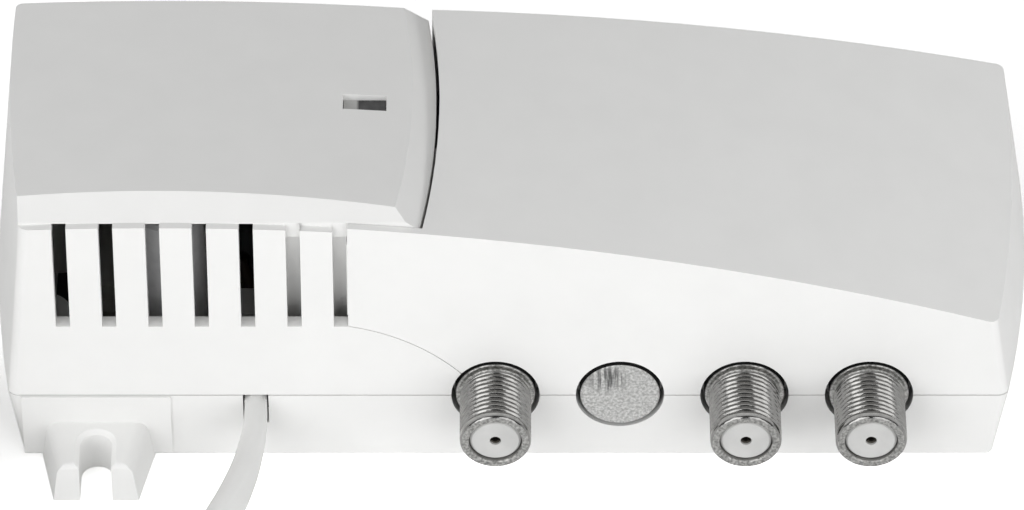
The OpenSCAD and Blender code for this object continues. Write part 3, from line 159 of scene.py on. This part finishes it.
def cord_section(n=20):
    """Flat oval, its width along x."""
    r, c = CORD_T / 2, (CORD_W - CORD_T) / 2
    out = []
    for k in range(n):
        a = 2 * math.pi * (k + 0.5) / n
        x, y = math.copysign(c, math.cos(a)) + r * math.cos(a), r * math.sin(a)
        out.append((x, y))
    return out


def tube(name, rows, section):
    """A tube of that section along the rows, closed at both ends."""
    n, points, faces = len(section), [], []
    p = rows[:, :3]
    for i in range(len(p)):
        t = p[min(i + 1, len(p) - 1)] - p[max(i - 1, 0)]
        t = t / np.linalg.norm(t)
        s = np.cross(t, (0, 0, 1))
        s = s / np.linalg.norm(s)
        u = np.cross(s, t)
        a = math.radians(rows[i, 3])
        along_x = s * math.cos(a) + u * math.sin(a)
        along_y = u * math.cos(a) - s * math.sin(a)
        points.extend(p[i] + along_x * x + along_y * y for x, y in section)
    for i in range(len(p) - 1):
        for k in range(n):
            a, b = i * n + k, i * n + (k + 1) % n
            faces.append((a, b, b + n, a + n))
    faces.append(tuple(range(n))[::-1])
    faces.append(tuple(range((len(p) - 1) * n, len(p) * n)))
    return mesh_object(name, points, faces, CORD_SMOOTH)


cord_path = cord_rows()
cord = tube("mains_cord", cord_path, cord_section())
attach(cord, "root")
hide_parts("mains_lead", "cord_coil", "cord_tail")


# Materials: one for each slot of the record, and two more for the sockets: a cast finish, and a near-black
# rim that is painted shade
def material(name, rgb, rough=0.5, metal=0.0, specular=0.5):
    m = bpy.data.materials.new(name)
    m.use_nodes = True
    shader = m.node_tree.nodes["Principled BSDF"]
    shader.inputs["Base Color"].default_value = (*rgb, 1)
    shader.inputs["Roughness"].default_value = rough
    shader.inputs["Metallic"].default_value = metal
    shader.inputs["Specular IOR Level"].default_value = specular
    return m


def shader_of(m):
    return m.node_tree.nodes["Principled BSDF"]


def add_node(m, kind, **values):
    node = m.node_tree.nodes.new(kind)
    for name, value in values.items():
        if hasattr(node, name):
            setattr(node, name, value)
        else:
            node.inputs[name.replace("_", " ")].default_value = value
    return node


def link(m, a, out, b, into):
    m.node_tree.links.new(a.outputs[out], b.inputs[into])


def speckle(m, scale, detail=3.0, stretch=None):
    """Noise of that scale per metre, on the object's own coordinates."""
    place = add_node(m, "ShaderNodeTexCoord")
    speck = add_node(m, "ShaderNodeTexNoise", Scale=scale, Detail=detail)
    if stretch:
        shape = add_node(m, "ShaderNodeMapping")
        shape.inputs["Scale"].default_value = stretch
        link(m, place, "Object", shape, "Vector")
        link(m, shape, "Vector", speck, "Vector")
    else:
        link(m, place, "Object", speck, "Vector")
    return speck


def ramp(m, source, out, low, high, to_low=0.0, to_high=1.0):
    """A value moved from one range to another."""
    node = add_node(m, "ShaderNodeMapRange")
    for name, value in (("From Min", low), ("From Max", high), ("To Min", to_low), ("To Max", to_high)):
        node.inputs[name].default_value = value
    link(m, source, out, node, "Value")
    return node


def blend(m, factor, a, b):
    """Two colours mixed by a node's result; either may be another mix."""
    mix = add_node(m, "ShaderNodeMix", data_type="RGBA")
    m.node_tree.links.new(factor.outputs[0], mix.inputs[0])
    for colour, slot in ((a, 6), (b, 7)):
        if isinstance(colour, tuple):
            mix.inputs[slot].default_value = (*colour, 1)
        else:
            m.node_tree.links.new(colour.outputs[2], mix.inputs[slot])
    return mix


def grain(m, scale, distance, strength=1.0, detail=3.0):
    """Fine surface texture: noise of that scale per metre, as a bump of that height in millimetres."""
    bump = add_node(m, "ShaderNodeBump", Strength=strength, Distance=distance * MM)
    link(m, speckle(m, scale, detail), "Fac", bump, "Height")
    link(m, bump, "Normal", shader_of(m), "Normal")
    return m


def mottle(m, scale, amount, detail=3.0, rough=0.0):
    """Colour, and where asked roughness, that vary a little over the surface."""
    shader = shader_of(m)
    rgb = tuple(shader.inputs["Base Color"].default_value)[:3]
    spread = ramp(m, speckle(m, scale, detail), "Fac", 0.3, 0.7)
    mix = blend(m, spread, tuple(c * (1 - amount) for c in rgb), tuple(min(1, c * (1 + amount)) for c in rgb))
    link(m, mix, 2, shader, "Base Color")
    if rough:
        level = shader.inputs["Roughness"].default_value
        uneven = ramp(m, speckle(m, scale * 0.7, detail), "Fac", 0.3, 0.7, level - rough, level + rough)
        link(m, uneven, "Result", shader, "Roughness")
    return m


def plain(name, rgb, rough=0.5, metal=0.0, amount=0.06):
    """A part inside the housing: slightly uneven colour and a light grain."""
    return grain(mottle(material(name, rgb, rough, metal), 500, amount), 2200, 0.01)


def moulding(name, rgb, rough, specular=0.35):
    """Moulded plastic with a fine satin skin."""
    return grain(mottle(material(name, rgb, rough, specular=specular), 160, 0.012, rough=0.04), 1800, 0.012)


def cast(name, dark, light, rough):
    """Rough plated casting, flecked dark and light."""
    m = material(name, light, rough, 1.0)
    fleck = ramp(m, speckle(m, 2600, 2.0), "Fac", 0.36, 0.64)
    link(m, blend(m, fleck, dark, light), 2, shader_of(m), "Base Color")
    return grain(m, 1500, 0.05, 1.0, 4.0)


STREAKS_AT, STREAKS_CORE, STREAKS_END = (12.7, -22.7, 14.2), 1.3, 3.1
PALE_STEP_FROM, PALE_STEP_TO = -20.75, -20.35


def blank_metal():
    """Cast disc: flecked grey, with dark streaks near the top left of its face."""
    m = cast("cast_metal", (0.54, 0.54, 0.53), (0.88, 0.88, 0.87), 0.5)
    shader = shader_of(m)
    flecked = shader.inputs["Base Color"].links[0].from_node
    streak = ramp(m, speckle(m, 1000, 2.0, (2.6, 0.2, 0.2)), "Fac", 0.42, 0.58)
    place = add_node(m, "ShaderNodeTexCoord")
    where = add_node(m, "ShaderNodeVectorMath", operation="DISTANCE")
    where.inputs[1].default_value = [c * MM for c in STREAKS_AT]
    link(m, place, "Object", where, 0)
    near = ramp(m, where, "Value", STREAKS_CORE * MM, STREAKS_END * MM, 0.85, 0.0)
    both = add_node(m, "ShaderNodeMath", operation="MULTIPLY")
    link(m, streak, 0, both, 0)
    link(m, near, 0, both, 1)
    link(m, blend(m, both, flecked, (0.10, 0.10, 0.10)), 2, shader, "Base Color")
    return m


def light_pipe_end():
    """Frosted light pipe, pale at its left end and dark over the rest."""
    m = material("light_pipe", (0.05, 0.05, 0.05), 0.22)
    place = add_node(m, "ShaderNodeTexCoord")
    split = add_node(m, "ShaderNodeSeparateXYZ")
    link(m, place, "Object", split, 0)
    step = ramp(m, split, "X", PALE_STEP_FROM * MM, PALE_STEP_TO * MM)
    cloud = ramp(m, speckle(m, 900), "Fac", 0.3, 0.7)
    dark = blend(m, cloud, (0.035, 0.035, 0.036), (0.065, 0.065, 0.066))
    link(m, blend(m, step, (0.50, 0.50, 0.49), dark), 2, shader_of(m), "Base Color")
    return m


def sheen(name, rgb, rough, metal, patch, amount, uneven, grit, height):
    """A smooth surface with patches of uneven colour and roughness, and a fine grain."""
    return grain(mottle(material(name, rgb, rough, metal), patch, amount, rough=uneven), grit, height)


MATERIALS = {
    "housing": moulding("housing", (0.86, 0.86, 0.85), 0.48),
    "nickel": sheen("nickel", (0.37, 0.366, 0.357), 0.15, 1.0, 900, 0.14, 0.03, 1400, 0.006),
    "nickel_cast": cast("nickel_cast", (0.28, 0.28, 0.27), (0.62, 0.615, 0.60), 0.36),
    # Flange rim: near-black, painted shade for where the housing's hole shadows the rim
    "rim_painted_shade": grain(
        mottle(material("rim_painted_shade", (0.012, 0.012, 0.012), 0.7, specular=0.2), 900, 0.2), 1400, 0.03),
    "cast_metal": blank_metal(),
    "tinplate": sheen("tinplate", (0.74, 0.74, 0.72), 0.3, 1.0, 120, 0.08, 0.06, 600, 0.01),
    "screw_steel": sheen("screw_steel", (0.66, 0.66, 0.66), 0.35, 1.0, 900, 0.1, 0.0, 2000, 0.01),
    "insulator": sheen("insulator", (0.57, 0.57, 0.56), 0.36, 0.0, 220, 0.08, 0.0, 1500, 0.008),
    # contact: near-black metal, partly painted shade that darkens the deep pin hole of each socket
    "contact": sheen("contact", (0.15, 0.14, 0.12), 0.35, 1.0, 1500, 0.15, 0.0, 2000, 0.01),
    "light_pipe": light_pipe_end(),
    "led": plain("led", (0.45, 0.75, 0.45), 0.2),
    "rf_laminate": plain("rf_laminate", (0.10, 0.30, 0.18), 0.45),
    "psu_laminate": plain("psu_laminate", (0.10, 0.075, 0.05), 0.55),
    "chip": plain("chip", (0.05, 0.05, 0.055)),
    "ferrite": plain("ferrite", (0.06, 0.06, 0.065), 0.6),
    "coil_former": plain("coil_former", (0.60, 0.52, 0.30)),
    "chip_part": plain("chip_part", (0.45, 0.36, 0.26)),
    "film_capacitor": plain("film_capacitor", (0.16, 0.16, 0.17), 0.4),
    "bulk_can": plain("bulk_can", (0.90, 0.90, 0.91), 0.32),
    "can": plain("can", (0.07, 0.09, 0.16), 0.35),
    "terminal": plain("terminal", (0.06, 0.06, 0.065)),
    "fuse": plain("fuse", (0.30, 0.30, 0.28), 0.2),
    "barrier": plain("barrier", (0.10, 0.10, 0.10), 0.6),
    "sheet": plain("sheet", (0.04, 0.04, 0.045), 0.6),
    # core_wire: near-black, far darker than the wire's own brown, as painted shade for the dim inside of the
    # housing
    "core_wire": plain("core_wire", (0.06, 0.04, 0.03)),
    "dc_wire": plain("dc_wire", (0.60, 0.08, 0.08)),
    "cord": sheen("cord", (0.70, 0.70, 0.69), 0.42, 0.0, 140, 0.03, 0.05, 1200, 0.012),
    "tie": sheen("tie", (0.78, 0.78, 0.78), 0.5, 0.0, 200, 0.05, 0.0, 1500, 0.02),
    "plug": moulding("plug", (0.84, 0.84, 0.83), 0.45, 0.5),
    "plug_pin": sheen("plug_pin", (0.70, 0.69, 0.66), 0.25, 1.0, 500, 0.08, 0.05, 1500, 0.008),
    "pin_sleeve": plain("pin_sleeve", (0.06, 0.06, 0.06)),
}


def dress(piece, *finishes):
    """The first finish becomes the whole piece's, the others are for the faces that name them."""
    chosen = [face.material_index for face in piece.data.polygons] if len(finishes) > 1 else []
    piece.data.materials.clear()
    for finish in finishes:
        piece.data.materials.append(MATERIALS[finish])
    for face, index in zip(piece.data.polygons, chosen):
        face.material_index = index
    return piece


SLOT_OF = {p["node"]: p["material_slot"] for p in frame["record"]["subparts"]}
for name, piece in nodes.items():
    dress(piece, SLOT_OF[name])
dress(cord, "cord")


# Sockets: flange, neck and barrel with a helical thread, and a rough cast skin on the plain faces
SEAM_Z = 11.3
PORT_X = (-2.2, 31.0, 47.6)
BLANK_X, BLANK_FACE_Y, BLANK_FACE_R, BLANK_RINGS = 14.4, -22.7, 5.05, 30
TIP_Y, FACE_Y, TAIL_Y = -31.9, -22.6, -16.9
THREAD_FROM, THREAD_TO = -23.2, -31.25
THREAD_R, THREAD_PITCH, THREAD_DEPTH = 4.75, 0.794, 0.48
THREAD_CREST, THREAD_FLANK = 0.13, 0.7
THREAD_RUN_IN, THREAD_RUN_OUT = 0.5, 0.4
TAIL_R, FLANGE_R, FLANGE_BACK = 4.2, 5.35, -19.4
BORE_R, TIP_RING_R = 3.5, 4.5
SKIN_HEIGHT, SKIN_COARSE, SKIN_FINE = 0.045, 1.6, 4.1
ROUND, THREAD_STEPS = 128, 192


def port_outline():
    """Place along the socket, radius, and roughness, from its tail to its tip and back along the bore."""
    rows = [(TAIL_Y, TAIL_R, 0), (FLANGE_BACK, TAIL_R, 0), (FLANGE_BACK, FLANGE_R, 0),
            (-22.3, FLANGE_R, 0), (-22.45, 5.33, 0), (FACE_Y + 0.03, 5.24, 0.4),
            (FACE_Y, 5.14, 1), (FACE_Y, 4.95, 1), (FACE_Y, 4.75, 1),
            (FACE_Y - 0.04, 4.58, 0.5), (FACE_Y - 0.14, 4.48, 0.4), (-22.95, 4.45, 0.4)]
    for i in range(THREAD_STEPS + 1):
        rows.append((THREAD_FROM + (THREAD_TO - THREAD_FROM) * i / THREAD_STEPS, THREAD_R, 0.25))
    rows += [(TIP_Y + 0.5, 4.73, 0.3), (TIP_Y + 0.36, 4.68, 0.4), (TIP_Y + 0.2, 4.57, 0.6),
             (TIP_Y + 0.07, 4.44, 0.9), (TIP_Y, 4.28, 1.5), (TIP_Y, 4.1, 1.6), (TIP_Y, 3.9, 1.6),
             (TIP_Y + 0.02, 3.72, 1.4), (TIP_Y + 0.09, 3.59, 0.9), (TIP_Y + 0.22, BORE_R, 0.2),
             (TAIL_Y, BORE_R, 0)]
    return rows


def on_rim(r):
    """Whether a ring starts on the flange's outside."""
    return r > FLANGE_R - 0.01


def finish_of(y, r):
    """Finish of the ring from a place along the socket: 0 smooth, 1 cast, 2 flange rim painted near-black as
    shade.
    """
    if on_rim(r):
        return 2
    if y > THREAD_FROM - 0.01:
        return 1
    return 1 if y < TIP_Y + 0.1 and r < TIP_RING_R else 0


def thread_cut(y, a):
    """Depth of the thread groove at a place along the barrel and an angle round it."""
    phase = (y / THREAD_PITCH - a / (2 * math.pi)) % 1
    run_in = ease((THREAD_FROM - y) / THREAD_RUN_IN) * ease((y - THREAD_TO) / THREAD_RUN_OUT)
    return THREAD_DEPTH * min(1, max(0, (abs(2 * phase - 1) - THREAD_CREST) / THREAD_FLANK)) * run_in


def skin(p, seed):
    """Unevenness of the casting at a place, about -1 to 1."""
    q = Vector(p) + Vector((seed * 7.3, 0, 0))
    return noise.noise(q * SKIN_COARSE) + 0.6 * noise.noise(q * SKIN_FINE)


def socket(name, x):
    """A threaded socket, turned from its outline, with a finish for each ring."""
    rows = port_outline()
    points, faces = [], []
    for y, r, rough in rows:
        for k in range(ROUND):
            a = 2 * math.pi * k / ROUND
            q = r - (thread_cut(y, a) if r == THREAD_R and y <= THREAD_FROM else 0)
            p = (x + q * math.cos(a), y, SEAM_Z + q * math.sin(a))
            points.append((p[0], y + SKIN_HEIGHT * rough * skin(p, x), p[2]))
    for i in range(len(rows)):
        j = (i + 1) % len(rows)
        for k in range(ROUND):
            m = (k + 1) % ROUND
            faces.append((i * ROUND + k, i * ROUND + m, j * ROUND + m, j * ROUND + k))
    piece = mesh_object(name, points, faces, METAL_SMOOTH)
    for i, (y, r, _) in enumerate(rows):
        for k in range(ROUND):
            piece.data.polygons[i * ROUND + k].material_index = finish_of(y, r)
    return piece


for i, x in enumerate(PORT_X, 1):
    piece = socket("socket_%d" % i, x)
    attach(piece, "root")
    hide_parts("f_port_%d" % i)
    # The third finish is the flange rim's painted shade
    dress(piece, "nickel", "nickel_cast", "rim_painted_shade")


def contact(name, x):
    """Spring contact: a body in the insulator and two prongs that reach into its front hole."""
    points, faces = [], []

    def prong(outline, from_a, to_a, n):
        start, size = len(points), len(outline)
        for k in range(n + 1):
            a = math.radians(from_a + (to_a - from_a) * k / n)
            points.extend((x + r * math.cos(a), y, SEAM_Z + r * math.sin(a)) for y, r in outline)
        for k in range(n):
            for i in range(size):
                j = (i + 1) % size
                faces.append((start + k * size + i, start + k * size + j,
                              start + (k + 1) * size + j, start + (k + 1) * size + i))
        faces.append(tuple(start + i for i in range(size)))
        faces.append(tuple(start + n * size + i for i in range(size))[::-1])

    tip = [(-30.3, 0.72), (-31.2, 0.72), (-31.3, 0.66), (-31.3, 0.5), (-31.2, 0.42), (-30.3, 0.42)]
    prong(tip, 25, 155, 10)
    prong(tip, 205, 335, 10)
    start, n = len(points), 32
    body = [(-13.9, 0.55), (TAIL_Y, 0.55), (TAIL_Y, 1.3), (-30.2, 1.3), (-30.35, 1.2),
            (-30.35, 0.74), (-24, 0.6)]
    for y, r in body:
        for k in range(n):
            a = 2 * math.pi * k / n
            points.append((x + r * math.cos(a), y, SEAM_Z + r * math.sin(a)))
    for i in range(len(body) - 1):
        row = start + i * n
        for k in range(n):
            m = (k + 1) % n
            faces.append((row + k, row + m, row + n + m, row + n + k))
    faces.append(tuple(start + k for k in range(n))[::-1])
    faces.append(tuple(start + (len(body) - 1) * n + k for k in range(n)))
    return mesh_object(name, points, faces, METAL_SMOOTH)


for i, x in enumerate(PORT_X, 1):
    piece = contact("contact_%d" % i, x)
    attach(piece, "root")
    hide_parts("f_contact_%d" % i)
    dress(piece, "contact")


def blank_disc():
    """Blank socket with an uneven cast face."""
    rows = [(TAIL_Y, TAIL_R), (FLANGE_BACK, TAIL_R), (FLANGE_BACK, FLANGE_R), (-22.35, FLANGE_R),
            (-22.55, 5.3), (-22.66, 5.2), (BLANK_FACE_Y, BLANK_FACE_R + 0.03)]
    rows += [(BLANK_FACE_Y, BLANK_FACE_R * (1 - i / BLANK_RINGS)) for i in range(1, BLANK_RINGS)]
    points, faces = [], []
    for y, r in rows:
        for k in range(ROUND):
            a = 2 * math.pi * k / ROUND
            p = Vector((r * math.cos(a), 0, r * math.sin(a)))
            rough = 0.06 * noise.noise(p * 0.8) + 0.04 * skin(p, BLANK_X) if y < FACE_Y else 0
            points.append((BLANK_X + p.x, y + rough, SEAM_Z + p.z))
    last = len(rows) - 1
    for i in range(last):
        for k in range(ROUND):
            m = (k + 1) % ROUND
            faces.append((i * ROUND + k, i * ROUND + m, (i + 1) * ROUND + m, (i + 1) * ROUND + k))
    faces.append(tuple(range(ROUND)))
    faces.append(tuple(range(last * ROUND, (last + 1) * ROUND)))
    piece = mesh_object("blank_disc", points, faces, METAL_SMOOTH)
    # The flange rim rings take the near-black painted shade
    for i, (_, r) in enumerate(rows[:-1]):
        for k in range(ROUND):
            piece.data.polygons[i * ROUND + k].material_index = int(on_rim(r))
    return piece


piece = blank_disc()
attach(piece, "root")
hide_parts("blank_port")
dress(piece, "cast_metal", "rim_painted_shade")


# Softly rounded edges on the mouldings
EDGE_ROUND, EDGE_ANGLE, FLAT_ANGLE, WELD_WITHIN = 0.4, 28, 0.3, 0.001


def soften(name, width):
    """Round a moulding's sharp edges, once the triangles of its flat faces are joined."""
    piece = nodes[name]
    weld = piece.modifiers.new("weld", "WELD")
    weld.merge_threshold = WELD_WITHIN * MM
    flat = piece.modifiers.new("flat", "DECIMATE")
    flat.decimate_type = "DISSOLVE"
    flat.angle_limit = math.radians(FLAT_ANGLE)
    bevel = piece.modifiers.new("bevel", "BEVEL")
    bevel.width = width * MM
    bevel.segments = 2
    bevel.limit_method = "ANGLE"
    bevel.angle_limit = math.radians(EDGE_ANGLE)
    bevel.harden_normals = False
    piece.data.shade_smooth()
    smooth = piece.modifiers.new("normals", "WEIGHTED_NORMAL")
    smooth.keep_sharp = False


for name in ("base_shell", "rf_cover", "mains_cover"):
    soften(name, EDGE_ROUND)


# Light: two tall softboxes beside the camera, fills at the ends and low in front, a pale surround
LAMP_AIM = (0, 0, 15)


def area(name, at, size, power):
    """A rectangular lamp that the camera doesn't see, its size in metres."""
    data = bpy.data.lights.new(name, "AREA")
    data.shape = "RECTANGLE"
    data.size, data.size_y = size
    data.energy = power
    lamp = bpy.data.objects.new(name, data)
    lamp.location = [v * MM for v in at]
    lamp.rotation_euler = (Vector(LAMP_AIM) - Vector(at)).to_track_quat("-Z", "Y").to_euler()
    lamp.visible_camera = False
    scene.collection.objects.link(lamp)
    return lamp


def around(azimuth, elevation, distance=1250):
    """A place in millimetres at that angle from straight ahead of the sockets and above the floor."""
    a, e = math.radians(azimuth), math.radians(elevation)
    level = distance * math.cos(e)
    return (level * math.sin(a), -level * math.cos(a), distance * math.sin(e) + LAMP_AIM[2])


area("softbox_left", around(-31, 27), (0.72, 1.1), 5.5)
area("softbox_right", around(31, 25), (0.72, 1.1), 4.3)
area("left_fill", around(-75, 28), (0.6, 0.6), 3.6).visible_glossy = False
area("right_fill", around(72, 10), (0.6, 0.6), 4.4).visible_glossy = False
area("low_fill", around(0, 6), (0.8, 0.15), 0.5).visible_glossy = False


def seen_directly(m):
    """Whether a ray comes from the camera, or from it by a mirror or through glass."""
    path = add_node(m, "ShaderNodeLightPath")
    first = add_node(m, "ShaderNodeMath", operation="MAXIMUM")
    both = add_node(m, "ShaderNodeMath", operation="MAXIMUM")
    link(m, path, "Is Camera Ray", first, 0)
    link(m, path, "Is Glossy Ray", first, 1)
    link(m, first, 0, both, 0)
    link(m, path, "Is Transmission Ray", both, 1)
    return both


# The surround lights the object; metal mirrors it dark in front and pale behind
SURROUND = 0.295
MIRROR_FRONT, MIRROR_BACK = -0.40, -0.10
MIRROR_DARK, MIRROR_PALE = 0.03, 0.85

world = bpy.data.worlds.new("world")
scene.world = world
world.use_nodes = True
surround = world.node_tree.nodes["Background"]
surround.inputs["Color"].default_value = (1, 1, 1, 1)
surround.inputs["Strength"].default_value = SURROUND
backdrop = add_node(world, "ShaderNodeBackground", Color=(1, 1, 1, 1), Strength=1.0)
towards = add_node(world, "ShaderNodeTexCoord")
split = add_node(world, "ShaderNodeSeparateXYZ")
link(world, towards, "Generated", split, 0)
fade = ramp(world, split, "Y", MIRROR_FRONT, MIRROR_BACK, MIRROR_DARK, MIRROR_PALE)
seen = add_node(world, "ShaderNodeLightPath")
level = add_node(world, "ShaderNodeMath", operation="MAXIMUM")
link(world, fade, 0, level, 0)
link(world, seen, "Is Camera Ray", level, 1)
link(world, level, 0, backdrop, "Strength")
choice = add_node(world, "ShaderNodeMixShader")
link(world, seen_directly(world), 0, choice, 0)
link(world, surround, 0, choice, 1)
link(world, backdrop, 0, choice, 2)
link(world, choice, 0, world.node_tree.nodes["World Output"], "Surface")

# Reflectance of the floor: for light on the object, in the metal's mirror image, and for the eye
FLOOR, FLOOR_MIRRORED, FLOOR_SEEN = 0.95, 0.9, 1.95
FLOOR_HALF, FLOOR_DROP = 3000, 0.02
corners = [(x * FLOOR_HALF, y * FLOOR_HALF, 0) for x, y in ((-1, -1), (1, -1), (1, 1), (-1, 1))]
floor = mesh_object("floor", corners, [(0, 1, 2, 3)])
floor.location.z = -FLOOR_DROP * MM
pale = bpy.data.materials.new("floor")
pale.use_nodes = True
pale.node_tree.nodes.remove(shader_of(pale))
path = add_node(pale, "ShaderNodeLightPath")
level = add_node(pale, "ShaderNodeMath", operation="MULTIPLY_ADD")
level.inputs[1].default_value = FLOOR_MIRRORED - FLOOR
level.inputs[2].default_value = FLOOR
link(pale, path, "Is Glossy Ray", level, 0)
direct = add_node(pale, "ShaderNodeMath", operation="MAXIMUM")
link(pale, path, "Is Camera Ray", direct, 0)
link(pale, path, "Is Transmission Ray", direct, 1)
shown = add_node(pale, "ShaderNodeMath", operation="MULTIPLY_ADD")
shown.inputs[1].default_value = FLOOR_SEEN - FLOOR
link(pale, direct, 0, shown, 0)
link(pale, level, 0, shown, 2)
cloth = add_node(pale, "ShaderNodeBsdfDiffuse")
link(pale, shown, 0, cloth, "Color")
link(pale, cloth, 0, pale.node_tree.nodes["Material Output"], "Surface")
floor.data.materials.append(pale)
